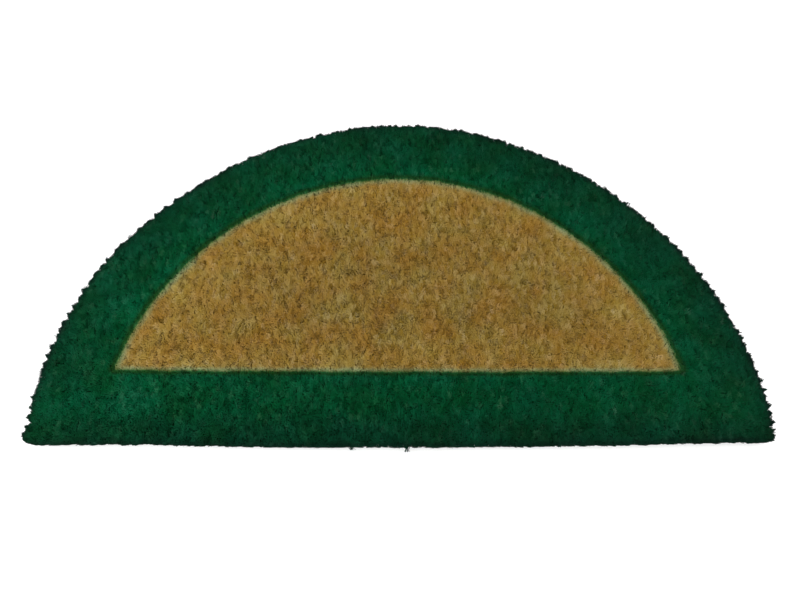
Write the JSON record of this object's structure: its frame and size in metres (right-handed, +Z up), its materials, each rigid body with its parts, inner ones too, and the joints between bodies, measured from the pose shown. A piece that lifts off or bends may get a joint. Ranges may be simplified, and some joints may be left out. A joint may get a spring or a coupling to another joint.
{
  "type": "half-round coir doormat",
  "caption": "Half-round brush doormat that lies flat, with a coir pile dyed green in a border round a natural field.",
  "frame": {"origin": "on the floor, under the middle of the mat's bounding box", "axes": "+X along the straight edge, +Y from the straight edge towards the crown of the arc, +Z up through the thickness"},
  "size_m": [0.7512, 0.3794, 0.018],
  "materials": {
    "green_coir": "cut coir pile dyed dark green, matt, coarse and uneven",
    "natural_coir": "cut coir pile in its natural golden brown, matt, coarse and uneven"
  },
  "bodies": {
    "root": {"coir_mat": "green_coir"}
  },
  "joints": []
}
